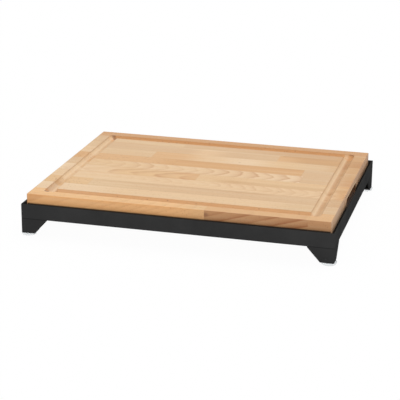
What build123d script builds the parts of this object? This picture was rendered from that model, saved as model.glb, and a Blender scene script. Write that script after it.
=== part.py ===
"""Carving board of edge-glued beech staves, lying loose in a welded steel angle frame on four corner legs.

Millimetres. +X runs along the board's long side, +Y towards its back and +Z up. The origin is on the table,
under the middle of the frame. Everything is centred on X = 0 and Y = 0.
"""

import os
from math import sqrt

from build123d import *

os.makedirs("parts", exist_ok=True)

# Board blank
board_length = 508.0
board_depth = 394.0
board_thickness = 38.0
board_corner_radius = 1.5
board_edge_radius = 1.0

# Staves: rows run along X, and the row at the back takes what the full rows leave
stave_width = 36.7

# Butt joints of each row, as shares of the board's length from its left end, front row first
joint_shares = [
    (0.595, 0.926),
    (),
    (0.156,),
    (),
    (0.487,),
    (0.828,),
    (0.370, 0.820),
    (0.269,),
    (0.250, 0.705),
    (0.346,),
    (),
]

# Juice groove: a round-nosed cutter led round a rectangle
groove_cutter_radius = 9.5
groove_depth = 6.5
groove_inset = 21.5

# Finger grooves: a round-nosed cutter led along the middle of each end face
finger_cutter_radius = 9.5
finger_groove_depth = 8.0
finger_groove_length = 100.0

# Frame rails: equal angle, one leg upright and the other turned in as a ledge
board_clearance = 4.5
rail_wall = 3.0
rail_height = 25.0
ledge_width = 25.0
rail_root_radius = 3.0
rail_toe_radius = 1.5

# Corner legs: angle with each flange cut away at a slant
leg_wall = 3.0
leg_drop = 25.0
leg_reach_at_rail = 44.0
leg_reach_at_foot = 22.5
leg_shoulder = 1.5
leg_root_radius = 3.0

# Foot plates and the clear bumpers stuck under them
foot_plate_thickness = 3.0
weld_gap = 0.5
bumper_diameter = 25.0
bumper_height = 3.5
bumper_edge_chamfer = 1.2
bumper_inset = 9.5

# Levels
leg_bottom = bumper_height
rail_bottom = leg_bottom + leg_drop
board_bottom = rail_bottom + rail_wall
board_top = board_bottom + board_thickness
board_middle = board_bottom + board_thickness / 2

# Frame plan, from the board that drops into it
frame_length = board_length + 2 * (board_clearance + rail_wall)
frame_depth = board_depth + 2 * (board_clearance + rail_wall)


def half_opening(cutter_radius, depth):
    """Half the width that a round-nosed cutter opens at the surface when it goes this deep."""
    return sqrt(cutter_radius**2 - (cutter_radius - depth) ** 2)


def finish(builder, name):
    """Labels a finished piece and writes it."""
    builder.part.label = name
    export_step(builder.part, f"parts/{name}.step")


# The blank is glued up, planed, rounded and routed in one piece, and each stave is then its share of it
groove_half_width = half_opening(groove_cutter_radius, groove_depth)
groove_path_x = board_length / 2 - groove_inset - groove_half_width
groove_path_y = board_depth / 2 - groove_inset - groove_half_width
groove_path_z = board_top + groove_cutter_radius - groove_depth

finger_half_height = half_opening(finger_cutter_radius, finger_groove_depth)
finger_path_x = board_length / 2 + finger_cutter_radius - finger_groove_depth
finger_path_y = finger_groove_length / 2 - finger_half_height

with BuildPart() as blank:
    with Locations((0, 0, board_bottom)):
        Box(board_length, board_depth, board_thickness, align=(Align.CENTER, Align.CENTER, Align.MIN))
    fillet(blank.edges().filter_by(Axis.Z), board_corner_radius)
    rims = blank.faces().filter_by(Axis.Z)
    fillet(rims.edges(), board_edge_radius)

    # Juice groove: four straight runs, with the cutter's round nose left standing in each corner
    with Locations((0, -groove_path_y, groove_path_z), (0, groove_path_y, groove_path_z)):
        Cylinder(groove_cutter_radius, 2 * groove_path_x, rotation=(0, 90, 0), mode=Mode.SUBTRACT)
    with Locations((-groove_path_x, 0, groove_path_z), (groove_path_x, 0, groove_path_z)):
        Cylinder(groove_cutter_radius, 2 * groove_path_y, rotation=(90, 0, 0), mode=Mode.SUBTRACT)
    with Locations(Plane.XY.offset(groove_path_z)):
        with GridLocations(2 * groove_path_x, 2 * groove_path_y, 2, 2):
            Sphere(groove_cutter_radius, mode=Mode.SUBTRACT)

    # Finger grooves in both ends, at half the board's thickness
    with Locations((-finger_path_x, 0, board_middle), (finger_path_x, 0, board_middle)):
        Cylinder(finger_cutter_radius, 2 * finger_path_y, rotation=(90, 0, 0), mode=Mode.SUBTRACT)
    with Locations(Plane.XY.offset(board_middle)):
        with GridLocations(2 * finger_path_x, 2 * finger_path_y, 2, 2):
            Sphere(finger_cutter_radius, mode=Mode.SUBTRACT)

row_count = max(1, round(board_depth / stave_width))
for row in range(row_count):
    row_front = -board_depth / 2 + row * stave_width
    row_back = board_depth / 2 if row == row_count - 1 else row_front + stave_width
    cuts = [0.0, *joint_shares[row % len(joint_shares)], 1.0]
    for number, (start, end) in enumerate(zip(cuts, cuts[1:]), start=1):
        stave_left = -board_length / 2 + start * board_length
        stave_right = -board_length / 2 + end * board_length
        with BuildPart() as stave:
            add(blank.part)
            with Locations(((stave_left + stave_right) / 2, (row_front + row_back) / 2, board_middle)):
                Box(stave_right - stave_left, row_back - row_front, board_thickness, mode=Mode.INTERSECT)
        finish(stave, f"stave_{row + 1:02d}_{number}")


def angle_section(height, reach, wall, root_radius, toe_radius=0.0):
    """An angle's section: heel at the origin, one flange along local X and the other along local Y."""
    with BuildSketch() as section:
        with BuildLine():
            Polyline((0, 0), (reach, 0), (reach, wall), (wall, wall), (wall, height), (0, height), close=True)
        make_face()
        fillet(section.vertices().sort_by_distance((wall, wall))[0], root_radius)
        if toe_radius:
            for toe in ((reach, wall), (wall, height)):
                fillet(section.vertices().sort_by_distance(toe)[0], toe_radius)
    return section.sketch


def mitre(corner_x, corner_y, along_x, along_y):
    """Cuts the rail in hand at 45 degrees through a corner, and keeps the side that the rail runs on."""
    split(
        bisect_by=Plane(origin=(corner_x, corner_y, rail_bottom), z_dir=(along_x, along_y, 0)),
        keep=Keep.TOP,
    )


rail_section = angle_section(rail_height, ledge_width, rail_wall, rail_root_radius, rail_toe_radius)
left, right = -frame_length / 2, frame_length / 2
front, back = -frame_depth / 2, frame_depth / 2

# Long rail at the front, drawn in a plane that looks along +X
with BuildPart() as front_rail:
    with BuildSketch(Plane(origin=(left, front, rail_bottom), x_dir=(0, 1, 0), z_dir=(1, 0, 0))):
        add(rail_section)
    extrude(amount=frame_length)
    mitre(left, front, 1, -1)
    mitre(right, front, -1, -1)
finish(front_rail, "front_rail")

with BuildPart() as back_rail:
    mirror(front_rail.part, about=Plane.XZ)
finish(back_rail, "back_rail")

# Short rail at the left, drawn in a plane that looks along -Y
with BuildPart() as left_rail:
    with BuildSketch(Plane(origin=(left, back, rail_bottom), x_dir=(1, 0, 0), z_dir=(0, -1, 0))):
        add(rail_section)
    extrude(amount=frame_depth)
    mitre(left, front, -1, 1)
    mitre(left, back, -1, -1)
finish(left_rail, "left_rail")

with BuildPart() as right_rail:
    mirror(left_rail.part, about=Plane.YZ)
finish(right_rail, "right_rail")

# Leg at the front left corner, with its outer faces flush with the rails above
with BuildPart() as leg:
    with BuildSketch(Plane(origin=(left, front, leg_bottom))):
        add(angle_section(leg_reach_at_rail, leg_reach_at_rail, leg_wall, leg_root_radius))
    extrude(amount=leg_drop)
    slant = [
        (leg_reach_at_foot, 0),
        (leg_reach_at_rail, leg_drop - leg_shoulder),
        (leg_reach_at_rail, 0),
    ]
    with BuildSketch(Plane(origin=(left, front, leg_bottom), x_dir=(1, 0, 0), z_dir=(0, -1, 0))):
        with BuildLine():
            Polyline(*slant, close=True)
        make_face()
    extrude(amount=-leg_wall, mode=Mode.SUBTRACT)
    with BuildSketch(Plane(origin=(left, front, leg_bottom), x_dir=(0, 1, 0), z_dir=(1, 0, 0))):
        with BuildLine():
            Polyline(*slant, close=True)
        make_face()
    extrude(amount=leg_wall, mode=Mode.SUBTRACT)

# Plate that closes the leg's foot, let in between its flanges
plate_side = leg_reach_at_foot - leg_wall
with BuildPart() as foot_plate:
    with BuildSketch(Plane(origin=(left + leg_wall, front + leg_wall, leg_bottom))) as plate_outline:
        Rectangle(plate_side, plate_side, align=(Align.MIN, Align.MIN))
        fillet(plate_outline.vertices().sort_by_distance((0, 0))[0], leg_root_radius + weld_gap)
    extrude(amount=foot_plate_thickness)

# Clear bumper, set towards the corner so that it stands a little proud of the leg's outer faces
bumper_x = left + bumper_inset
bumper_y = front + bumper_inset
with BuildPart() as bumper:
    with Locations((bumper_x, bumper_y, 0)):
        Cylinder(bumper_diameter / 2, bumper_height, align=(Align.CENTER, Align.CENTER, Align.MIN))
    chamfer(bumper.faces().sort_by(Axis.Z)[0].edges(), bumper_edge_chamfer)

# The front left corner's pieces, and their mirror images at the other three corners
for piece, name in ((leg, "leg"), (foot_plate, "foot_plate"), (bumper, "bumper")):
    finish(piece, f"{name}_front_left")
    with BuildPart() as front_right:
        mirror(piece.part, about=Plane.YZ)
    finish(front_right, f"{name}_front_right")
    with BuildPart() as back_left:
        mirror(piece.part, about=Plane.XZ)
    finish(back_left, f"{name}_back_left")
    with BuildPart() as back_right:
        mirror(front_right.part, about=Plane.XZ)
    finish(back_right, f"{name}_back_right")
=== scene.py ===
"""Looks of a carving board: edge-glued beech staves lying loose in a welded, powder coated steel angle frame.

Metres, in the frame of the packed part: +X along the board, +Y towards its back, +Z up, the table at Z = 0.
The staves keep their packed shape and get their wood here. The rails, legs, foot plates and bumpers are surfaces
worked out here, with the small radii that ground steel and moulded rubber have.
"""

import bpy
import numpy as np
from bpy.props import FloatProperty, FloatVectorProperty, PointerProperty
from mathutils import Matrix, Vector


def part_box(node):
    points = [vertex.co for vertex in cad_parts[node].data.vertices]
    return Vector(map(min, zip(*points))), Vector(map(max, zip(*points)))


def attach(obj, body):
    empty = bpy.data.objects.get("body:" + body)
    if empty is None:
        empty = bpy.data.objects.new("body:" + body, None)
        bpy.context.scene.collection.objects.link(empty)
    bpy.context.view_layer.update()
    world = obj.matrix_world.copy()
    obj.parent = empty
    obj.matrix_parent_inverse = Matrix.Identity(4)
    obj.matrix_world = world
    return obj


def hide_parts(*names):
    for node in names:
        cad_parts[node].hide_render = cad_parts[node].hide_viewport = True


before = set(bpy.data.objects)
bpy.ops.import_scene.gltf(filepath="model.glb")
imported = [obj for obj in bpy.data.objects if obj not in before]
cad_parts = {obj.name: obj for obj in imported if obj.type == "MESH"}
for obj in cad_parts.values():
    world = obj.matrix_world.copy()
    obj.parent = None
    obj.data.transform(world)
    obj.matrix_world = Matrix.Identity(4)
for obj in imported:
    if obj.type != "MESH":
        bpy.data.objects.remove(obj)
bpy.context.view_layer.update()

bl_info = {
    "name": "Carving board looks",
    "version": (1, 0, 0),
    "blender": (4, 5, 0),
    "location": "3D View > Sidebar > Carving board",
    "description": "Builds the frame's surfaces and gives every piece of the carving board its finish",
    "category": "Object",
}

CORNERS = {"front_left": (-1, -1), "front_right": (1, -1), "back_left": (-1, 1), "back_right": (1, 1)}
RAILS = ("front_rail", "back_rail", "left_rail", "right_rail")

# Edges that turn by more degrees than this are shaded sharp
SHARP_ANGLE = 32
# Radius in metres that an outline's corner keeps where the rail's inner side would come out with none
LEAST_RADIUS = 2e-5
# Steps in millimetres that set one stave's noise apart from the next one's
SEED_STEPS = (37.0, 11.0, 7.0)


def linear(code):
    """sRGB hex to linear RGB: c / 12.92 up to 0.04045, and ((c + 0.055) / 1.055) ** 2.4 above it."""
    c = np.array([int(code[i : i + 2], 16) for i in (0, 2, 4)]) / 255
    return tuple(np.where(c <= 0.04045, c / 12.92, ((c + 0.055) / 1.055) ** 2.4))


def tone(name, code, description):
    """A colour that the user may change, given as sRGB hex."""
    return FloatVectorProperty(
        name=name, description=description, subtype="COLOR", size=3, min=0, max=1, default=linear(code)
    )


def length(name, metres, description):
    """A length that the user may change, given in metres."""
    return FloatProperty(name=name, description=description, unit="LENGTH", precision=5, min=0, default=metres)


# What each stave shows, in millimetres. Tones stand at shares of its length, from the left end. The tree's pith ran
# through (x, y, height), and its rings leave the stave at a slope along X, pitch apart. Rings says how dark they
# are at the left end and at the right one. Staves with the pith far to one side are plain, and those with it above
# or below show arches. Flecks says how many dark flecks there are, side how much heartwood shows on the outer side,
# and knot where a pin knot is. A stain is (y, half width, strength), and its ends are (from X, to X, fade).
PLAIN = {
    "pith": (0, 150, -40),
    "slope": 0.002,
    "pitch": 2.6,
    "rings": (0.25, 0.25),
    "flecks": 0.15,
    "side": 0.0,
    "knot": (0, 0, 0),
    "knot_size": 0.001,
    "stain": (0, 1, 0),
    "stain_ends": (0, 1, 1),
}
STAVES = {
    "stave_01_1": {
        "tones": {0: "amber", 0.8: "amber", 1: "apricot"},
        "pith": (-120, -172, 115),
        "slope": -0.4,
        "pitch": 9.0,
        "rings": (0.35, 0.25),
        "flecks": 0.6,
    },
    "stave_01_2": {
        "tones": {0: "clay", 1: "clay"},
        "pith": (120, -190, 115.3),
        "slope": -0.3,
        "pitch": 12.5,
        "rings": (1.1, 2.1),
        "side": 1.0,
        "knot": (50, -197.5, 62.5),
        "knot_size": 5.5,
    },
    "stave_01_3": {"tones": {0: "clay", 1: "clay"}, "side": 1.0},
    "stave_02_1": {
        "tones": {0: "cream", 0.15: "cream", 0.3: "straw", 0.75: "straw", 0.88: "wheat", 1: "rose"},
        "knot": (-61.3, -125.5, 69.5),
        "knot_size": 1.3,
    },
    "stave_03_1": {"tones": {0: "apricot", 1: "apricot"}, "flecks": 1.0},
    "stave_03_2": {
        "tones": {0: "wheat", 0.5: "rose", 0.9: "rose", 1: "tan"},
        "stain": (-92.0, 4.5, 0.6),
        "stain_ends": (-175, 146, 20),
    },
    "stave_04_1": {
        "tones": {0: "straw", 0.93: "straw", 1: "honey"},
        "pith": (165, -68, -22),
        "slope": 0.12,
        "rings": (0.1, 0.6),
        "stain": (-71, 9, 0.3),
        "stain_ends": (98, 190, 20),
        "knot": (142.7, -69.7, 69.5),
        "knot_size": 1.4,
    },
    "stave_05_1": {
        "tones": {0: "cream", 0.3: "straw", 0.5: "apricot", 0.75: "apricot", 1: "clay"},
        "pith": (-124, -39, 6.8),
        "slope": -0.1,
        "pitch": 4.25,
        "rings": (0.2, 1.2),
    },
    "stave_05_2": {
        "tones": {0: "oat", 0.85: "oat", 1: "honey"},
        "stain": (-42, 14, 0.9),
        "stain_ends": (15, 300, 40),
    },
    "stave_06_1": {
        "tones": {0: "rose", 0.1: "oat", 0.5: "straw", 0.75: "straw", 1: "cream"},
        "pith": (60, 5.5, -30.4),
        "slope": 0.12,
        "pitch": 3.18,
        "rings": (0.3, 1.0),
    },
    "stave_06_2": {"tones": {0: "rose", 0.5: "rose", 1: "toast"}},
    "stave_07_1": {"tones": {0: "honey", 0.2: "clay", 0.7: "clay", 1: "honey"}, "flecks": 0.9},
    "stave_07_2": {"tones": {0: "honey", 1: "honey"}, "stain": (55.0, 5.0, 0.6), "stain_ends": (-66, 162, 8)},
    "stave_07_3": {"tones": {0: "rose", 0.5: "rose", 1: "umber"}},
    "stave_08_1": {"tones": {0: "straw", 0.4: "wheat", 1: "wheat"}},
    "stave_08_2": {
        "tones": {0: "clay", 0.12: "clay", 0.3: "straw", 0.45: "cream", 0.65: "oat", 0.8: "wheat", 1: "umber"},
        "knot": (42.7, 72.0, 69.5),
        "knot_size": 1.8,
    },
    "stave_09_1": {"tones": {0: "wheat", 0.3: "rose", 1: "rose"}},
    "stave_09_2": {"tones": {0: "rose", 0.25: "rose", 0.43: "straw", 0.65: "rose", 1: "rose"}},
    "stave_09_3": {
        "tones": {0: "clay", 0.4: "umber", 0.7: "umber", 1: "rust"},
        "stain": (132, 9, 0.8),
        "stain_ends": (104, 214, 8),
    },
    "stave_10_1": {"tones": {0: "rose", 0.12: "rose", 0.3: "wheat", 1: "wheat"}, "flecks": 0.4},
    "stave_10_2": {"tones": {0: "rose", 0.3: "rose", 0.75: "tan", 1: "umber"}},
    "stave_11_1": {"tones": {0: "toast", 1: "toast"}, "flecks": 0.8},
}


class BeechSettings(bpy.types.PropertyGroup):
    """Tones of the oiled beech, its marks and its painted light and shade, and where the painted shade along the rim
    and the juice groove are.
    """

    # Cream is also the painted light on the left walls of the juice groove across the grain, and the painted
    # highlight along the finger grooves' upper edge
    cream: tone("Cream", "dfc39d", "Palest sapwood")
    straw: tone("Straw", "dab98e", "Pale, slightly yellow wood")
    oat: tone("Oat", "d6b384", "Pale wood between yellow and orange")
    wheat: tone("Wheat", "d2b287", "Ordinary beech")
    rose: tone("Rose", "ccaa80", "Pinkish steamed wood")
    apricot: tone("Apricot", "d6b07d", "Pale orange wood")
    amber: tone("Amber", "e2b47b", "Bright orange wood")
    clay: tone("Clay", "d0a36e", "Pinkish tan wood")
    honey: tone("Honey", "ca995f", "Orange tan wood")
    tan: tone("Tan", "c29b6e", "Greyer brown wood")
    umber: tone("Umber", "c0935c", "Reddish tan wood")
    toast: tone("Toast", "be8b54", "Brown wood near the heart")
    rust: tone("Rust", "b17d42", "Stains along the grain")
    streak: tone("Streak", "d2a06c", "Darker streaks within a stave")
    latewood: tone("Latewood", "b57c48", "Dark edge of a growth ring")
    fleck: tone("Fleck", "9c6a42", "Ends of the rays, short dark dashes along the grain")
    # Torn ray is also the painted shade beside the back left corner's mitred joint in the juice groove
    pore: tone("Torn ray", "80522f", "Larger flecks, where a ray has been pulled out")
    # Knot is also the painted shade laid with the burns in the juice groove's corners
    knot: tone("Knot", "6b3f24", "Pin knots, and the burns that the cutter leaves in the juice groove's corners")
    # Painted shade: black in the gap between the rim and the board
    gap_shadow: tone("Soot", "17120e", "Black that the rim rubs onto the board")
    heart: tone("Heart", "e0e0e8", "What heartwood on the outer sides multiplies the tone by")
    oil: tone("Oil", "fceee3", "What the outer sides multiply the tone by, since they drink more oil than the top")
    # Painted shade with warm bounce light on the juice groove's walls along the grain
    groove_wall_shade: tone("Routed", "d59e68", "Warmer tone on the walls that the cutter left along the grain")
    # Painted shade on the bottom of the juice groove across the grain
    groove_bottom_shade: tone("Charred", "f0e3d4", "What the bottom of the groove across the grain multiplies the tone by")
    end: tone("End grain", "a2826c", "Grey brown that oiled end grain turns towards")
    # Painted shade, dark brown, inside the finger grooves
    finger_groove_shade: tone("Torn grain", "5c3518", "Torn end grain inside the finger grooves")
    # Where the painted shade in the gap between the rim and the board reaches
    gap_shade_top: length("Top of the rub", 0.0538, "Upper edge of what the rim rubs onto the board's sides")
    gap_shade_drop: length("Drop at the ends", 0.0058, "How much lower the rub's upper edge is on the board's ends")
    gap_shade_deep: length("Drop in the finger grooves", 0.0113, "How much lower still it is in the finger grooves")
    groove_inset: length("Groove inset", 0.0215, "From the board's edge to the juice groove")
    groove_width: length("Groove width", 0.018, "Width of the juice groove at the surface")


class SteelSettings(bpy.types.PropertyGroup):
    """Sizes that the packed part can't be asked for, and the coat's colour."""

    rail_root: length("Rail root radius", 0.003, "Fillet inside the rail's angle")
    rail_toe: length("Rail toe radius", 0.0015, "Round on the inner edge of each of the angle's legs")
    arris: length("Arris radius", 0.0004, "Round that coating leaves on a ground edge")
    frame_corner: length("Frame corner radius", 0.001, "Round ground on the mitred corners of the frame")
    leg_shoulder: length("Leg shoulder", 0.0015, "Upright edge above a leg's slant")
    coat: tone("Powder coat", "333333", "Matt black polyester powder coat")
    peel: length("Orange peel", 0.0009, "Width of the coat's soft waves")


class BumperSettings(bpy.types.PropertyGroup):
    """The clear stick-on bumpers."""

    edge: length("Edge radius", 0.0011, "Round on the bumper's lower edge")
    tint: tone("Clear rubber", "e6eaec", "Colour that the clear rubber gives what shows through it")


class StageSettings(bpy.types.PropertyGroup):
    """Camera, lamps and floor."""

    azimuth: FloatProperty(name="Azimuth", description="Camera's side of the object", default=14.818)
    elevation: FloatProperty(name="Elevation", description="Camera's slope above the table", default=18.581)
    roll: FloatProperty(name="Roll", description="Tilt of the camera about its own axis", default=0.4652)
    place: FloatVectorProperty(
        name="Place", description="Where the camera stands", unit="LENGTH", default=(0.5738, -2.2088, 0.7858)
    )
    lens: FloatProperty(name="Lens", description="Focal length for a 36 mm sensor, in millimetres", default=124.2)
    sky: FloatProperty(name="Sky", description="Soft light from all round", default=0.6)
    key: FloatProperty(name="Key lamp", description="Strength of the soft lamp above and behind", default=1.5)
    fill: FloatProperty(name="Fill lamp", description="Strength of the low soft lamp in front", default=0.95)
    paper: FloatProperty(name="Paper", description="Share of the floor that is pure white to the eye", default=0.97)


def rounded_outline(corners, radii, steps):
    """Closed outline with an arc at each corner. With u and v the unit vectors from a corner to its neighbours and
    t half the angle between them, the arc's centre is r / sin t along u + v, it starts r / tan t along u, and it
    turns by pi - 2t. Works on any number of outlines at once: corners (..., k, 2), radii (..., k)."""
    corners, radii = np.asarray(corners, float), np.asarray(radii, float)[..., None]
    u, v = np.roll(corners, 1, -2) - corners, np.roll(corners, -1, -2) - corners
    u, v = u / np.linalg.norm(u, axis=-1, keepdims=True), v / np.linalg.norm(v, axis=-1, keepdims=True)
    half = np.arccos(np.clip((u * v).sum(-1, keepdims=True), -1, 1)) / 2
    middle = (u + v) / np.linalg.norm(u + v, axis=-1, keepdims=True)
    centre = corners + middle * radii / np.sin(half)
    spoke = (corners + u * radii / np.tan(half) - centre)[..., None, :]
    side = np.sign(v[..., 0:1] * u[..., 1:2] - v[..., 1:2] * u[..., 0:1])
    turn = (side * (np.pi - 2 * half))[..., None, :] * np.linspace(0, 1, steps)[:, None]
    cos, sin = np.cos(turn), np.sin(turn)
    arc = np.concatenate(
        [spoke[..., 0:1] * cos - spoke[..., 1:2] * sin, spoke[..., 0:1] * sin + spoke[..., 1:2] * cos], -1
    )
    points = centre[..., None, :] + arc
    return points.reshape(*points.shape[:-3], -1, 2)


def arris_levels(low, high, radius, steps=4):
    """Heights and insets of a stack with rounded lower and upper edges: over a quarter turn a, the inset is
    r (1 - sin a) and the height is r (1 - cos a) from the end."""
    turn = np.linspace(0, np.pi / 2, steps)
    inset, rise = radius * (1 - np.sin(turn)), radius * (1 - np.cos(turn))
    return np.concatenate([low + rise, (high - rise)[::-1]]), np.concatenate([inset, inset[::-1]])


def put_surface(name, grid, material, closed_path, replaced):
    """Mesh from a grid of points P[i, j], i along the path and j round the section: each cell is the face P[i, j],
    P[i, j+1], P[i+1, j+1], P[i+1, j]. Sections are closed, and the path is either closed or capped at both ends.
    Faces are turned over if the volume, the sum of p0 . (p1 x p2) / 6 over the triangles, comes out negative."""
    rows, columns = grid.shape[:2]
    index = np.arange(rows * columns).reshape(rows, columns)
    cells = np.stack([index, np.roll(index, -1, 1), np.roll(index, (-1, -1), (0, 1)), np.roll(index, -1, 0)], -1)
    faces = cells[: rows if closed_path else rows - 1].reshape(-1, 4)
    points = grid.reshape(-1, 3)
    caps = [] if closed_path else [index[0][::-1].tolist(), index[-1].tolist()]
    fans = [[face[0], face[n], face[n + 1]] for face in caps for n in range(1, len(face) - 1)]
    triangles = np.concatenate([faces[:, [0, 1, 2]], faces[:, [0, 2, 3]], np.array(fans, int).reshape(-1, 3)])
    p0, p1, p2 = (points[triangles[:, n]] for n in range(3))
    volume = np.einsum("ij,ij->", p0, np.cross(p1, p2)) / 6
    order = 1 if volume > 0 else -1
    mesh = bpy.data.meshes.new(name)
    mesh.from_pydata(points, [], [face[::order] for face in faces.tolist() + caps])
    mesh.polygons.foreach_set("use_smooth", np.ones(len(mesh.polygons), bool))
    mesh.set_sharp_from_angle(angle=np.radians(SHARP_ANGLE))
    mesh.materials.append(material)
    mesh.update()
    piece = bpy.data.objects.new(name, mesh)
    bpy.context.scene.collection.objects.link(piece)
    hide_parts(*replaced)
    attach(piece, "frame")


def put_at_corners(name, node, x, y, radii, height, steel):
    """Steel piece of the front left corner, and its mirror images at the other three. It is a stack of rounded
    outlines, with x and y of the outline's corners given for every height. A mirror image changes the sign of x, of
    y or of both."""
    corners = np.array([x, y]).T
    section = rounded_outline(corners, np.broadcast_to(radii, corners.shape[:2]), steps=5)
    level = np.broadcast_to(height[:, None, None], (*section.shape[:2], 1))
    coat = existing("powder_coated_steel", powder_coated_steel, steel)
    for corner, side in CORNERS.items():
        grid = np.concatenate([section * np.negative(side), level], -1)
        put_surface(f"{name}_{corner}", grid, coat, False, [f"{node}_{corner}"])


def add(tree, kind, inputs=(), **settings):
    """Adds one node, sets its properties, and fills its sockets in order or by name. A socket or a node given as
    a value is linked, a node by the first output that its settings leave on, and None leaves a socket alone."""
    node = tree.nodes.new(kind)
    for name, value in settings.items():
        setattr(node, name, value)
    live = [socket for socket in node.inputs if socket.enabled]
    pairs = [(node.inputs[key], inputs[key]) for key in inputs] if isinstance(inputs, dict) else zip(live, inputs)
    for socket, value in pairs:
        if isinstance(value, bpy.types.Node):
            value = next(out for out in value.outputs if out.enabled)
        if isinstance(value, bpy.types.NodeSocket):
            tree.links.new(value, socket)
        elif value is not None:
            socket.default_value = value
    return node


def where(tree, *conditions):
    """Where every condition holds: a share from 0 to 1, by multiplying one for each. A condition is a share itself,
    a pair that holds where its first value is less than its second, or (value, none, full), which is 0 while the
    value is at none and rises to 1 as it goes to full."""
    whole = None
    for share in conditions:
        if isinstance(share, tuple) and len(share) == 2:
            share = add(tree, "ShaderNodeMath", share, operation="LESS_THAN")
        elif isinstance(share, tuple):
            share = add(tree, "ShaderNodeMapRange", share)
        whole = share if whole is None else add(tree, "ShaderNodeMath", [whole, share], operation="MULTIPLY")
    return whole


def stripe(tree, value, middle, outside, inside, **settings):
    """1 where a value is as near its middle as inside says, falling to 0 as far off as outside says."""
    off = add(tree, "ShaderNodeMath", [value, middle], operation="SUBTRACT")
    off = add(tree, "ShaderNodeMath", [off], operation="ABSOLUTE")
    return add(tree, "ShaderNodeMapRange", [off, outside, inside], **settings)


def spot(tree, place, centre, radius, stretch=(1, 1, 1)):
    """1 at a point, falling to 0 at a radius from it, with the distance measured after a stretch."""
    off = add(tree, "ShaderNodeVectorMath", [place, centre], operation="SUBTRACT")
    off = add(tree, "ShaderNodeVectorMath", [off, stretch], operation="MULTIPLY")
    off = add(tree, "ShaderNodeVectorMath", [off], operation="LENGTH")
    return add(tree, "ShaderNodeMapRange", [off, radius, 0.0], interpolation_type="SMOOTHSTEP")


def drawn_out(tree, kind, place, along, across, **inputs):
    """A texture drawn out along the grain, its features so many millimetres long and so many across."""
    drawn = add(tree, "ShaderNodeMapping", {"Vector": place, "Scale": (1 / along, 1 / across, 1 / across)})
    return add(tree, kind, {"Vector": drawn, "Scale": 1, **inputs})


def mm_position(tree):
    """Object coordinates in millimetres."""
    coordinates = add(tree, "ShaderNodeTexCoord").outputs["Object"]
    return add(tree, "ShaderNodeMapping", {"Vector": coordinates, "Scale": (1000, 1000, 1000)})


def seen_by_eye(tree):
    """1 for light on its way to the eye, straight, by a reflection or through something clear, and 0 for light on
    its way to a surface."""
    path = add(tree, "ShaderNodeLightPath").outputs
    seen = add(tree, "ShaderNodeMath", [path["Is Camera Ray"], path["Is Glossy Ray"]], operation="MAXIMUM")
    return add(tree, "ShaderNodeMath", [seen, path["Is Transmission Ray"]], operation="MAXIMUM")


def blank_material(name):
    """A new node material with nothing in it."""
    material = bpy.data.materials.new(name)
    material.use_nodes = True
    material.node_tree.nodes.clear()
    return material


def existing(name, make, *given):
    """The material of that name, made once."""
    return bpy.data.materials.get(name) or make(*given)


def growth_rings(tree, given, place, seeded):
    """Growth rings are cylinders about the pith: distance = sqrt(dy^2 + h^2), where h = dz + slope dx, and the ring
    number is distance / pitch. Each ring darkens slowly and then sharply towards its outer edge. Gives how dark the
    ring is, the distance from the pith and the angle round it."""
    from_pith = add(tree, "ShaderNodeVectorMath", [place, given["Pith"]], operation="SUBTRACT")
    dx, dy, dz = add(tree, "ShaderNodeSeparateXYZ", [from_pith]).outputs
    height = add(tree, "ShaderNodeMath", [dx, given["Slope"], dz], operation="MULTIPLY_ADD")
    across = add(tree, "ShaderNodeCombineXYZ", [dy, height, 0])
    distance = add(tree, "ShaderNodeVectorMath", [across], operation="LENGTH")
    angle = add(tree, "ShaderNodeMath", [dy, height], operation="ARCTAN2")

    # Rings wander by about a millimetre over a few centimetres: 2.6 times a noise that keeps between 0.3 and 0.7
    wander = drawn_out(tree, "ShaderNodeTexNoise", seeded, 38, 13, Detail=2)
    wandered = add(tree, "ShaderNodeMath", [wander, 2.6, distance], operation="MULTIPLY_ADD")
    number = add(tree, "ShaderNodeMath", [wandered, given["Pitch"]], operation="DIVIDE")
    within = add(tree, "ShaderNodeMath", [number], operation="FRACT")
    band = add(tree, "ShaderNodeValToRGB", [within])
    first, last = band.color_ramp.elements
    first.position, first.color = 0.0, (0.5, 0.5, 0.5, 1)
    last.position, last.color = 1.0, (0.9, 0.9, 0.9, 1)
    for position, value in ((0.1, 0.02), (0.35, 0.12), (0.75, 0.5), (0.93, 1.0)):
        band.color_ramp.elements.new(position).color = (value, value, value, 1)

    # Some years are darker than others, and every ring comes and goes along the stave
    whole = add(tree, "ShaderNodeMath", [number], operation="FLOOR")
    year = add(tree, "ShaderNodeTexWhiteNoise", {"W": whole}, noise_dimensions="1D")
    year = add(tree, "ShaderNodeMapRange", {"Value": year, "To Min": 0.5, "To Max": 1.0})
    broad = drawn_out(tree, "ShaderNodeTexNoise", seeded, 90, 25, Detail=1)
    broad = add(tree, "ShaderNodeMapRange", {"Value": broad, "From Min": 0.35, "From Max": 0.6, "To Min": 0.45})
    return where(tree, band, year, broad, given["Rings"]), distance, angle


def ray_dashes(tree, x, distance, angle):
    """Rays are thin sheets that stand on the pith, so they are laid out in (x, angle, distance) as Voronoi cells:
    short dashes on the face, flakes on a quartered face, fine lines on the end. Each cell's dash has its own
    strength."""
    sheets = add(tree, "ShaderNodeCombineXYZ", [x, angle, distance])
    # 3.4 mm along the grain, 0.3 mm round the pith at 40 mm from it, 6 mm outwards
    sheets = add(tree, "ShaderNodeMapping", {"Vector": sheets, "Scale": (1 / 3.4, 40 / 0.3, 1 / 6)})
    cell = add(tree, "ShaderNodeTexVoronoi", {"Vector": sheets, "Scale": 1})
    dash = add(tree, "ShaderNodeMapRange", [cell.outputs["Distance"], 0.32, 0.16], interpolation_type="SMOOTHSTEP")
    own = add(tree, "ShaderNodeSeparateColor", [cell.outputs["Color"]])
    return where(tree, dash, own)


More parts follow.
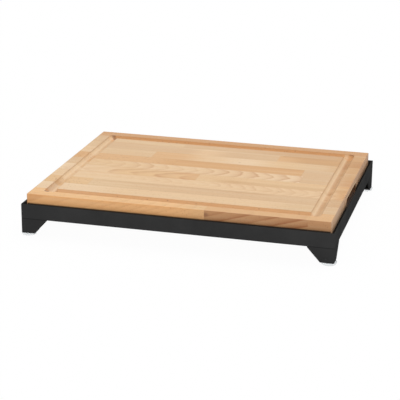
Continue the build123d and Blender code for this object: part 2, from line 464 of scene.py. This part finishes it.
def torn_rays(tree, given, seeded, side, along):
    """Rays pulled out where they stand proud: flecks 3 mm long and 2 mm across, in some of the cells of 7 by 4 mm.
    They show on some staves and on the walls cut along the grain, and not on the outer sides."""
    cell = drawn_out(tree, "ShaderNodeTexVoronoi", seeded, 7, 4)
    own = add(tree, "ShaderNodeSeparateColor", [cell.outputs["Color"]])
    fleck = where(tree, (cell.outputs["Distance"], 0.26, 0.12), (own, 0.35, 0.65))
    shown = add(tree, "ShaderNodeMath", [along, 0.8], operation="MULTIPLY")
    shown = add(tree, "ShaderNodeMath", [shown, given["Flecks"]], operation="MAXIMUM")
    off_side = add(tree, "ShaderNodeMath", [side, -1.0, 1.0], operation="MULTIPLY_ADD")
    return where(tree, fleck, shown, off_side)


def stain_line(tree, given, x, y, streak):
    """A line along the stave: full at its own y, nothing at its half width, fading over a given length at both
    ends, and broken by the streaks."""
    line_y, half, strength = add(tree, "ShaderNodeSeparateXYZ", [given["Stain"]]).outputs
    start, end, fade = add(tree, "ShaderNodeSeparateXYZ", [given["Stain ends"]]).outputs
    line = stripe(tree, y, line_y, half, 0.0, interpolation_type="SMOOTHSTEP")
    after = add(tree, "ShaderNodeMath", [x, start], operation="SUBTRACT")
    before = add(tree, "ShaderNodeMath", [end, x], operation="SUBTRACT")
    inside = add(tree, "ShaderNodeMath", [after, before], operation="MINIMUM")
    inside = add(tree, "ShaderNodeMath", [inside, fade], operation="DIVIDE", use_clamp=True)
    broken = add(tree, "ShaderNodeMapRange", {"Value": streak, "To Min": 0.35})
    return where(tree, line, strength, inside, broken)


def finger_grooves(tree, place, z, middle_z, in_x, end):
    """Finger grooves in the board's ends: painted shade, dark brown, inside them, under a painted highlight along
    their upper edge. Gives the shade and the highlight."""
    off = add(tree, "ShaderNodeVectorMath", [place, (0, 0, middle_z)], operation="SUBTRACT")
    off = add(tree, "ShaderNodeVectorMath", [off], operation="ABSOLUTE")
    _, off_y, off_z = add(tree, "ShaderNodeSeparateXYZ", [off]).outputs

    # A groove reaches less than this far in, to each side of the end's middle, and up and down
    reach, half_length, half_height = 15.0, 60.0, 12.0
    finger_groove_shade = where(tree, (in_x, 0.1, 1.0), (in_x, reach), (off_y, half_length), (off_z, half_height))

    # The painted highlight runs along the groove's upper edge, this far above the middle, for 44 mm each way
    lip_rise = 10.2
    lip_highlight = stripe(tree, z, middle_z + lip_rise, 1.6, 0.6)
    return finger_groove_shade, where(tree, lip_highlight, (off_y, 52.0, 44.0), end)


def painted_gap_shade(tree, wood, z, end, side, finger_groove_shade):
    """Painted shade in the gap between the rim and the board: black on the board's sides and ends, up to a line that
    is lower on the ends and in the finger grooves, and less and less below it."""
    # The line is soft by 0.9 mm, and the black is whole down to 4 mm below it and gone from 11 mm
    line = 1000 * wood.gap_shade_top
    above, below, whole, gone = line + 0.9, line - 0.9, line - 4, line - 11
    level = add(tree, "ShaderNodeMath", [end, 1000 * wood.gap_shade_drop, z], operation="MULTIPLY_ADD")
    level = add(tree, "ShaderNodeMath", [finger_groove_shade, 1000 * wood.gap_shade_deep, level], operation="MULTIPLY_ADD")
    outer = add(tree, "ShaderNodeMath", [end, side], operation="MAXIMUM")
    outer = add(tree, "ShaderNodeMath", [outer, finger_groove_shade], operation="MAXIMUM")
    return where(tree, (level, above, below), (level, gone, whole), outer)


def juice_groove(tree, wood, x, y, folded, in_z, low, high):
    """Marks of the cutter and painted light and shade in the juice groove, a rectangle of straight runs that is
    folded onto one quarter and measured from its centre line. Gives the walls along the grain with their warm
    painted shade, the part of the left walls across it that takes painted light and the part that turns darker, the
    bottom's painted shade, darker lines at the lips, the burns with painted shade round the corners and the painted
    shade beside a mitred joint."""
    inset, width = 1000 * wood.groove_inset, 1000 * wood.groove_width
    middle = tuple(high - [inset + width / 2, inset + width / 2, 0])
    off = add(tree, "ShaderNodeVectorMath", [folded, middle], operation="SUBTRACT")
    off_x, off_y, _ = add(tree, "ShaderNodeSeparateXYZ", [off]).outputs

    # The groove's walls lie below the board's top, above the finger grooves and within 0.5 mm of the lips
    deepest, past_lip = 9.0, width / 2 + 0.5
    outermost = add(tree, "ShaderNodeMath", [off_x, off_y], operation="MAXIMUM")
    within = where(tree, (outermost, past_lip), (in_z, 0.2, 0.8), (in_z, deepest))
    along, across = where(tree, within, (-past_lip, off_y)), where(tree, within, (-past_lip, off_x))

    # Across the grain the left walls, which face +X, get painted light, pale like the top, but the left run's turns
    # darker in front of Y = -85. Hand is -1 on the board's left half and 1 on its right
    hand = add(tree, "ShaderNodeMath", [x], operation="SIGN")
    rightward = add(tree, "ShaderNodeMath", [off_x, hand], operation="MULTIPLY")
    wall = where(tree, (rightward, -1.0, -4.0), across)
    lit_reach = add(tree, "ShaderNodeMath", [where(tree, (y, -115.0, -85.0)), hand], operation="MAXIMUM")
    lit_wall = where(tree, wall, lit_reach)
    dull = add(tree, "ShaderNodeMath", [wall, lit_wall], operation="SUBTRACT")

    # Painted shade on the bottom, 6 mm down, more so to the right
    more_to_right = add(tree, "ShaderNodeMapRange", {"Value": x, "From Min": low[0], "From Max": high[0], "To Min": 0.3})
    groove_bottom_shade = where(tree, across, (in_z, 5.2, 6.3), more_to_right)

    # Darker lines within 1 mm of both lips of the runs across the grain
    from_middle = add(tree, "ShaderNodeMath", [off_x], operation="ABSOLUTE")
    dark_lip_lines = where(tree, stripe(tree, from_middle, width / 2, 1.0, 0.3), (off_y, 0.0), (in_z, deepest))

    # Burn mark and painted shade in a line round each outer corner, 0.6 mm past the groove's edge: strong in the
    # front left corner, half as strong in the back ones and faint in the front right one
    flat = add(tree, "ShaderNodeCombineXYZ", [off_x, off_y, 0])
    flat = add(tree, "ShaderNodeVectorMath", [flat], operation="LENGTH")
    line = stripe(tree, flat, width / 2 + 0.6, 1.8, 0.8)
    front = where(tree, (y, 0.0), hand)
    own = add(tree, "ShaderNodeMapRange", {"Value": front, "From Min": -1.0, "To Min": 1.0, "To Max": 0.1})
    burn_and_corner_shade = where(tree, line, (off_y, 4.0, 7.0), (off_x, -2.0, 0.0), (in_z, deepest), own)

    # Painted shade 5 mm beside the mitred joint of the back left corner, on the back run
    past_mitre = add(tree, "ShaderNodeMath", [off_x, off_y], operation="SUBTRACT")
    mitre_shade = where(tree, stripe(tree, past_mitre, -5.0, 6.0, 2.0), within, (0.0, y), (x, 0.0))
    return along, lit_wall, dull, groove_bottom_shade, dark_lip_lines, burn_and_corner_shade, mitre_shade


def glue_lines(tree, given, place):
    """Glue lines: about 0.15 mm of darker wood at each side of a joint."""
    past_low = add(tree, "ShaderNodeVectorMath", [place, given["Low"]], operation="SUBTRACT")
    past_high = add(tree, "ShaderNodeVectorMath", [given["High"], place], operation="SUBTRACT")
    nearest = add(tree, "ShaderNodeVectorMath", [past_low, past_high], operation="MINIMUM")
    to_end, to_side, _ = add(tree, "ShaderNodeSeparateXYZ", [nearest]).outputs
    edge = add(tree, "ShaderNodeMath", [to_end, to_side], operation="MINIMUM")
    return where(tree, (edge, 0.3, 0.05))


def beech_group(wood, low, high):
    """Solid beech, cut through by whatever surface shows it, for a board between two corners. Millimetres.

    Each feature gives a share from 0 to 1, and the features are then laid over the stave's own tone in turn."""
    tree = bpy.data.node_groups.new("beech", "ShaderNodeTree")
    for in_out, kind, names in (
        ("INPUT", "NodeSocketFloat", ("Slope", "Pitch", "Rings", "Flecks", "Side", "Knot size")),
        ("INPUT", "NodeSocketVector", ("Pith", "Seed", "Low", "High", "Knot", "Stain", "Stain ends")),
        ("INPUT", "NodeSocketColor", ("Tone",)),
        ("OUTPUT", "NodeSocketColor", ("Colour",)),
        ("OUTPUT", "NodeSocketFloat", ("Roughness", "Relief")),
    ):
        for name in names:
            tree.interface.new_socket(name=name, in_out=in_out, socket_type=kind)
    given = add(tree, "NodeGroupInput").outputs
    place = mm_position(tree)
    x, y, z = add(tree, "ShaderNodeSeparateXYZ", [place]).outputs
    seeded = add(tree, "ShaderNodeVectorMath", [place, given["Seed"]], operation="ADD")
    ring, distance, angle = growth_rings(tree, given, place, seeded)
    ray = ray_dashes(tree, x, distance, angle)

    # Streaks of wide growth, dark where the noise is high and pale where it is low
    broad = drawn_out(tree, "ShaderNodeTexNoise", seeded, 240, 9, Detail=3, Roughness=0.6)
    streak, pale = where(tree, (broad, 0.45, 0.75)), where(tree, (broad, 0.5, 0.25))

    # Fibres, about 0.3 mm across and drawn 12 mm long
    fine = drawn_out(tree, "ShaderNodeTexNoise", seeded, 12, 1 / 3, Detail=2, Roughness=0.6)
    fibre = where(tree, (fine, 0.25, 0.75))

    stain = stain_line(tree, given, x, y, streak)
    knot = spot(tree, place, given["Knot"], given["Knot size"], (0.6, 1, 1))

    # How far in from the board's outer faces, with the board folded onto one quarter
    folded = add(tree, "ShaderNodeVectorMath", [place], operation="ABSOLUTE")
    inward = add(tree, "ShaderNodeVectorMath", [tuple(high), folded], operation="SUBTRACT")
    in_x, in_y, in_z = add(tree, "ShaderNodeSeparateXYZ", [inward]).outputs
    end, side = where(tree, (in_x, 1.2, 0.6)), where(tree, (in_y, 1.2, 0.6))

    # A stave with heartwood on its outer side has faint rings everywhere else
    heart = where(tree, side, given["Side"])
    sapwood = add(tree, "ShaderNodeMath", [given["Side"], heart], operation="SUBTRACT")
    sapwood = add(tree, "ShaderNodeMath", [sapwood, -0.85, 1.0], operation="MULTIPLY_ADD")
    ring = where(tree, ring, sapwood)

    finger_groove_shade, lip_highlight = finger_grooves(tree, place, z, (low[2] + high[2]) / 2, in_x, end)
    gap_shade = painted_gap_shade(tree, wood, z, end, side, finger_groove_shade)
    along, lit_wall, dull, groove_bottom_shade, dark_lip_lines, burn_and_corner_shade, mitre_shade = juice_groove(tree, wood, x, y, folded, in_z, low, high)
    fleck = torn_rays(tree, given, seeded, side, along)
    glue = glue_lines(tree, given, place)

    # Each feature's share, how strong it is and its tone, which is mixed in unless the row says otherwise
    # Painted light and shade among these rows: the warm groove walls, the pale left walls, the groove's bottom, the
    # corner burns, the mark beside the mitred joint, the finger grooves' upper edge and inside, and the black along
    # the rim
    colour = given["Tone"]
    for share, strength, laid, *how in (
        (streak, 0.3, wood.streak),
        (pale, 0.3, wood.cream),
        (ring, 1.0, wood.latewood),
        (fibre, 0.1, wood.fleck),
        (ray, 0.5, wood.fleck),
        (stain, 1.0, wood.rust),
        (side, 1.0, wood.oil, "MULTIPLY"),
        (heart, 1.0, wood.heart, "MULTIPLY"),
        (knot, 0.6, wood.knot),
        (along, 0.65, wood.groove_wall_shade),
        (lit_wall, 0.55, wood.cream),
        (dull, 0.35, wood.fleck),
        (fleck, 0.7, wood.pore),
        (groove_bottom_shade, 1.0, wood.groove_bottom_shade, "MULTIPLY"),
        (dark_lip_lines, 0.3, wood.fleck),
        (burn_and_corner_shade, 0.9, wood.knot),
        (mitre_shade, 0.6, wood.pore),
        (end, 0.6, wood.end),
        (lip_highlight, 0.8, wood.cream),
        (finger_groove_shade, 0.92, wood.finger_groove_shade),
        (gap_shade, 0.95, wood.gap_shadow),
        (glue, 0.3, wood.fleck),
    ):
        share = where(tree, share, strength)
        blend = how[0] if how else "MIX"
        colour = add(tree, "ShaderNodeMix", [share, colour, (*laid, 1)], data_type="RGBA", blend_type=blend)

    # Satin on the planed faces, duller on end grain and dullest in the finger grooves
    rough = add(tree, "ShaderNodeMapRange", {"Value": fine, "To Min": 0.42, "To Max": 0.6})
    rough = add(tree, "ShaderNodeMath", [end, 0.18, rough], operation="MULTIPLY_ADD")
    rough = add(tree, "ShaderNodeMath", [finger_groove_shade, 0.3, rough], operation="MULTIPLY_ADD")
    # Rays and glue lines lie lower than the fibres
    relief = add(tree, "ShaderNodeMath", [ray, -0.6, fine], operation="MULTIPLY_ADD")
    relief = add(tree, "ShaderNodeMath", [glue, -0.5, relief], operation="MULTIPLY_ADD")
    add(tree, "NodeGroupOutput", {"Colour": colour, "Roughness": rough, "Relief": relief})
    return tree


def oiled_beech(name, span, joints, look, wood, group, seed):
    """Beech: side grain planed, sanded and oiled, so it is satin, warm and a little darker in its pores."""
    material = blank_material(name)
    tree = material.node_tree
    x = add(tree, "ShaderNodeSeparateXYZ", [mm_position(tree)]).outputs["X"]
    # Share of the stave's length, from its left end
    along = where(tree, (x, *span))
    tones = add(tree, "ShaderNodeValToRGB", [along])
    ramp = tones.color_ramp
    ramp.interpolation = "EASE"
    stops = [(share, (*getattr(wood, tint), 1)) for share, tint in look["tones"].items()]
    for element, stop in zip(ramp.elements, (stops[0], stops[-1])):
        element.position, element.color = stop
    for share, colour in stops[1:-1]:
        ramp.elements.new(share).color = colour
    look = {**PLAIN, **look}
    # What the stave shows goes to the sockets of the same name
    shown = {key.replace("_", " ").capitalize(): look[key] for key in PLAIN}
    left, right = look["rings"]
    shown["Rings"] = add(tree, "ShaderNodeMapRange", {"Value": along, "To Min": left, "To Max": right})
    shown["Seed"] = tuple(seed * step for step in SEED_STEPS)
    shown["Low"], shown["High"] = joints
    beech = add(tree, "ShaderNodeGroup", {"Tone": tones.outputs["Color"], **shown}, node_tree=group)
    bump = add(tree, "ShaderNodeBump", {"Strength": 0.35, "Distance": 0.0001, "Height": beech.outputs["Relief"]})
    surface = add(
        tree,
        "ShaderNodeBsdfPrincipled",
        {"Base Color": beech.outputs["Colour"], "Roughness": beech.outputs["Roughness"], "IOR": 1.5, "Normal": bump},
    )
    add(tree, "ShaderNodeOutputMaterial", {"Surface": surface})
    return material


def powder_coated_steel(steel):
    """Steel under matt black polyester powder coat, sprayed and baked: soft waves of orange peel, a faint fine grit
    on top, and a shade and a dull sheen that vary a little."""
    material = blank_material("powder_coated_steel")
    tree = material.node_tree
    place = add(tree, "ShaderNodeTexCoord").outputs["Object"]
    # Orange peel, grit drawn 0.35 mm coarse because it is finer than shows, and clouds 45 mm across
    waves, grit, cloud = (
        add(tree, "ShaderNodeTexNoise", {"Vector": place, "Scale": scale, "Detail": detail})
        for scale, detail in ((1 / steel.peel, 1), (2900, 1), (22, 3))
    )
    shade, rough = (
        add(tree, "ShaderNodeMapRange", [cloud, 0.3, 0.7, least, most]) for least, most in ((0.9, 1.12), (0.8, 0.9))
    )

    # Weld seam with a painted shadow line where a leg meets the rails, and painted shade on the leg below it, under
    # the band
    z = add(tree, "ShaderNodeSeparateXYZ", [place]).outputs["Z"]
    above = add(tree, "ShaderNodeMath", [z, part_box("front_rail")[0].z], operation="SUBTRACT")
    near = add(tree, "ShaderNodeMath", [above], operation="ABSOLUTE")
    seam_and_shadow_line = add(tree, "ShaderNodeMapRange", {"Value": near, "From Max": 0.001, "To Min": 0.55})
    below = add(tree, "ShaderNodeMapRange", {"Value": above, "From Min": -0.001, "From Max": 0, "To Min": 0.94})
    shade = where(tree, shade, seam_and_shadow_line, below)
    colour = add(tree, "ShaderNodeMix", [1.0, (*steel.coat, 1), shade], data_type="RGBA", blend_type="MULTIPLY")
    relief = add(tree, "ShaderNodeMath", [grit, 0.35, waves], operation="MULTIPLY_ADD")
    bump = add(tree, "ShaderNodeBump", {"Strength": 0.3, "Distance": 0.00012, "Height": relief})
    surface = add(
        tree,
        "ShaderNodeBsdfPrincipled",
        {"Base Color": colour, "Roughness": rough, "IOR": 1.5, "Specular IOR Level": 0.0, "Normal": bump},
    )
    add(tree, "ShaderNodeOutputMaterial", {"Surface": surface})
    return material


def clear_polyurethane(bumper):
    """Clear cast polyurethane: soft, slightly hazy, grey where it is thick."""
    material = blank_material("clear_polyurethane")
    tree = material.node_tree
    place = add(tree, "ShaderNodeTexCoord").outputs["Object"]
    # Haze in patches of 1.1 mm
    haze = add(tree, "ShaderNodeTexNoise", {"Vector": place, "Scale": 900, "Detail": 2})
    rough = add(tree, "ShaderNodeMapRange", {"Value": haze, "To Min": 0.12, "To Max": 0.3})
    surface = add(
        tree,
        "ShaderNodeBsdfPrincipled",
        {"Base Color": (*bumper.tint, 1), "Roughness": rough, "IOR": 1.49, "Transmission Weight": 0.8},
    )
    add(tree, "ShaderNodeOutputMaterial", {"Surface": surface})
    return material


def compass(azimuth, elevation):
    """Unit vector in degrees from the object's front, turning towards +X, and up: (sin a cos e, -cos a cos e,
    sin e)."""
    a, e = np.radians(azimuth), np.radians(elevation)
    return np.array([np.sin(a) * np.cos(e), -np.cos(a) * np.cos(e), np.sin(e)])


def facing(back, place, roll):
    """Pose of a camera or lamp whose own Z axis points along back: right = up x back, up = back x right, both then
    turned about back by roll."""
    back = np.array(back, float)
    right = np.cross((0, 0, 1), back)
    right /= np.linalg.norm(right)
    up = np.cross(back, right)
    turned = np.cos(roll) * right + np.sin(roll) * up
    pose = np.eye(4)
    pose[:3, :3] = np.stack([turned, np.cross(back, turned), back], 1)
    pose[:3, 3] = place
    return Matrix(pose.tolist())


class CARVING_OT_staves(bpy.types.Operator):
    """Give every stave of the board its own oiled beech"""

    bl_idname = "carving_board.staves"
    bl_label = "Finish the staves"

    def execute(self, context):
        wood = context.scene.carving_beech
        board_low = 1000 * np.min([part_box(name)[0] for name in STAVES], 0)
        board_high = 1000 * np.max([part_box(name)[1] for name in STAVES], 0)
        group = beech_group(wood, board_low, board_high)
        # Faces as close to the board's as 1 mm have no glue line, so the box of a stave's joints is let out there
        close, let_out = 1.0, 9.0
        for seed, (name, look) in enumerate(STAVES.items(), start=1):
            low, high = (1000 * np.array(corner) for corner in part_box(name))
            joints = (
                np.where(low < board_low + close, low - let_out, low),
                np.where(high > board_high - close, high + let_out, high),
            )
            finish, span = name.replace("stave", "oiled_beech"), (low[0], high[0])
            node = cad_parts[name]
            node.material_slots[0].material = oiled_beech(finish, span, joints, look, wood, group, seed)
        return {"FINISHED"}


class CARVING_OT_rails(bpy.types.Operator):
    """Build the four mitred and welded angle rails as one ground band"""

    bl_idname = "carving_board.rails"
    bl_label = "Build the rails"

    def execute(self, context):
        steel = context.scene.carving_steel
        low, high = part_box("front_rail")
        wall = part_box("foot_plate_front_left")[0].x - low.x
        reach, rise = high.y - low.y, high.z - low.z
        # Section as (distance in from the frame's outer face, height), and the rectangle that each point runs round
        corners = [(0, 0), (reach, 0), (reach, wall), (wall, wall), (wall, rise), (0, rise)]
        radii = [steel.arris, steel.arris, steel.rail_toe, steel.rail_root, steel.rail_toe, steel.arris]
        inward, height = rounded_outline(corners, radii, steps=6).T
        half_x, half_y = high.x - inward, -low.y - inward
        rectangle = np.stack([half_x[:, None] * [-1, 1, 1, -1], half_y[:, None] * [-1, -1, 1, 1]], -1)
        turns = np.repeat(np.maximum(steel.frame_corner - inward, LEAST_RADIUS)[:, None], 4, 1)
        run = rounded_outline(rectangle, turns, steps=5).transpose(1, 0, 2)
        grid = np.concatenate([run, np.broadcast_to(low.z + height, run.shape[:2])[..., None]], -1)
        coat = existing("powder_coated_steel", powder_coated_steel, steel)
        put_surface("rail_band", grid, coat, True, RAILS)
        return {"FINISHED"}


class CARVING_OT_legs(bpy.types.Operator):
    """Build the four corner legs, angles with their flanges cut to a slant"""

    bl_idname = "carving_board.legs"
    bl_label = "Build the legs"

    def execute(self, context):
        steel = context.scene.carving_steel
        low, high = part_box("leg_front_left")
        plate_low, plate_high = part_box("foot_plate_front_left")
        wall, foot, reach = plate_low.x - low.x, plate_high.x - low.x, high.x - low.x
        height, inset = arris_levels(low.z, high.z, steel.arris)
        # One more level at the shoulder, between the rounded edges
        halfway, shoulder = len(height) // 2, high.z - steel.leg_shoulder
        height, inset = np.insert(height, halfway, shoulder), np.insert(inset, halfway, 0.0)
        slant = np.interp(height, [low.z, shoulder, high.z], [foot, reach, reach])
        near, inner, far = inset, wall - inset, slant - inset
        x = low.x + np.array([near, far, far, inner, inner, near])
        y = low.y + np.array([near, near, inner, inner, far, far])
        radii = [steel.frame_corner, steel.arris, steel.arris, steel.rail_root, steel.arris, steel.arris]
        put_at_corners("corner_leg", "leg", x, y, radii, height, steel)
        return {"FINISHED"}


class CARVING_OT_foot_plates(bpy.types.Operator):
    """Build the small plates that close the legs' feet"""

    bl_idname = "carving_board.foot_plates"
    bl_label = "Build the foot plates"

    def execute(self, context):
        steel = context.scene.carving_steel
        low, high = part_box("foot_plate_front_left")
        height, inset = arris_levels(low.z, high.z, steel.arris)
        left, right = low.x + inset, high.x - inset
        front, back = low.y + inset, high.y - inset
        radii = [steel.rail_root + steel.arris, steel.arris, steel.arris, steel.arris]
        x, y = [left, right, right, left], [front, front, back, back]
        put_at_corners("plate", "foot_plate", x, y, radii, height, steel)
        return {"FINISHED"}


class CARVING_OT_bumpers(bpy.types.Operator):
    """Build the clear round bumpers under the feet"""

    bl_idname = "carving_board.bumpers"
    bl_label = "Build the bumpers"

    def execute(self, context):
        bumper = context.scene.carving_bumper
        clear = existing("clear_polyurethane", clear_polyurethane, bumper)
        # Lathe: the side leans in by a fiftieth of the radius towards the floor, the lower edge is a quarter round
        # and the upper one has a narrow bevel
        lean, bevel = 0.98, 0.0002
        turn = np.linspace(0, 2 * np.pi, 64, endpoint=False)
        quarter = np.linspace(0, np.pi / 2, 7)
        for corner in CORNERS:
            low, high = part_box(f"bumper_{corner}")
            middle, radius = (low + high) / 2, (high.x - low.x) / 2
            height = np.concatenate([low.z + bumper.edge * (1 - np.cos(quarter)), [high.z - bevel, high.z]])
            side = np.interp(height, [low.z, high.z], [lean, 1.0]) * radius
            out = side - np.concatenate([bumper.edge * (1 - np.sin(quarter)), [0, bevel]])
            grid = np.stack(
                [
                    middle.x + out[:, None] * np.cos(turn),
                    middle.y + out[:, None] * np.sin(turn),
                    np.broadcast_to(height[:, None], (len(height), len(turn))),
                ],
                -1,
            )
            put_surface(f"clear_foot_{corner}", grid, clear, False, [f"bumper_{corner}"])
        return {"FINISHED"}


class CARVING_OT_stage(bpy.types.Operator):
    """Set the white floor, the soft light and the camera"""

    bl_idname = "carving_board.stage"
    bl_label = "Set the stage"

    def execute(self, context):
        stage = context.scene.carving_stage
        scene = context.scene
        scene.view_settings.view_transform = "Standard"

        # White paper that is lit like any matt sheet, and shows mostly pure white to the eye
        paper = blank_material("white_paper")
        tree = paper.node_tree
        share = where(tree, seen_by_eye(tree), stage.paper)
        lit = add(tree, "ShaderNodeBsdfDiffuse", {"Color": (*linear("f2f2f2"), 1)})
        white = add(tree, "ShaderNodeEmission", {"Color": (1, 1, 1, 1), "Strength": 1.0})
        mixed = add(tree, "ShaderNodeMixShader", [share, lit, white])
        add(tree, "ShaderNodeOutputMaterial", {"Surface": mixed})
        half_side = 9.0
        mesh = bpy.data.meshes.new("floor")
        square = half_side * np.array([(-1, -1, 0), (1, -1, 0), (1, 1, 0), (-1, 1, 0)])
        mesh.from_pydata(square, [], [[0, 1, 2, 3]])
        mesh.materials.append(paper)
        floor = bpy.data.objects.new("floor", mesh)
        scene.collection.objects.link(floor)

        # Sky: white to the eye and in reflections, softer as a light
        world = bpy.data.worlds.new("studio")
        scene.world = world
        world.use_nodes = True
        tree = world.node_tree
        tree.nodes.clear()
        soft = add(tree, "ShaderNodeBackground", {"Color": (1, 1, 1, 1), "Strength": stage.sky})
        white = add(tree, "ShaderNodeBackground", {"Color": (1, 1, 1, 1), "Strength": 1.0})
        mixed = add(tree, "ShaderNodeMixShader", [seen_by_eye(tree), soft, white])
        add(tree, "ShaderNodeOutputWorld", {"Surface": mixed})

        # A wide soft source above and behind, and a low one in front and to the right that fills the upright faces
        for name, energy, spread, azimuth, elevation in (
            ("key_lamp", stage.key, 45, 160, 66),
            ("fill_lamp", stage.fill, 35, 22, 16),
        ):
            lamp = bpy.data.lights.new(name, "SUN")
            lamp.energy, lamp.angle = energy, np.radians(spread)
            source = bpy.data.objects.new(name, lamp)
            scene.collection.objects.link(source)
            source.matrix_world = facing(compass(azimuth, elevation), (0, 0, 2), 0)

        camera = bpy.data.cameras.new("camera")
        camera.lens, camera.sensor_width = stage.lens, 36
        camera.clip_start, camera.clip_end = 0.05, 60
        view = bpy.data.objects.new("camera", camera)
        scene.collection.objects.link(view)
        view.matrix_world = facing(compass(stage.azimuth, stage.elevation), stage.place, np.radians(stage.roll))
        scene.camera = view
        return {"FINISHED"}


STEPS = (
    CARVING_OT_staves,
    CARVING_OT_rails,
    CARVING_OT_legs,
    CARVING_OT_foot_plates,
    CARVING_OT_bumpers,
    CARVING_OT_stage,
)
SETTINGS = {
    "carving_beech": BeechSettings,
    "carving_steel": SteelSettings,
    "carving_bumper": BumperSettings,
    "carving_stage": StageSettings,
}


class CARVING_PT_panel(bpy.types.Panel):
    """Lists the steps that dress the carving board"""

    bl_idname = "CARVING_PT_panel"
    bl_label = "Carving board"
    bl_space_type = "VIEW_3D"
    bl_region_type = "UI"
    bl_category = "Carving board"

    def draw(self, context):
        for name, group in SETTINGS.items():
            box = self.layout.box()
            box.label(text=group.__doc__)
            for prop in group.__annotations__:
                box.prop(getattr(context.scene, name), prop)
        for step in STEPS:
            self.layout.operator(step.bl_idname)


def register():
    """Registers the classes and hangs the settings on the scene."""
    for cls in (*SETTINGS.values(), *STEPS, CARVING_PT_panel):
        bpy.utils.register_class(cls)
    for name, group in SETTINGS.items():
        setattr(bpy.types.Scene, name, PointerProperty(type=group))


def unregister():
    """Undoes what register did, in the opposite order."""
    for name in SETTINGS:
        delattr(bpy.types.Scene, name)
    for cls in (CARVING_PT_panel, *reversed(STEPS), *reversed(SETTINGS.values())):
        bpy.utils.unregister_class(cls)


def main():
    """Builds and finishes everything."""
    register()
    bpy.ops.carving_board.staves()
    bpy.ops.carving_board.rails()
    bpy.ops.carving_board.legs()
    bpy.ops.carving_board.foot_plates()
    bpy.ops.carving_board.bumpers()
    bpy.ops.carving_board.stage()


if __name__ == "__main__":
    main()
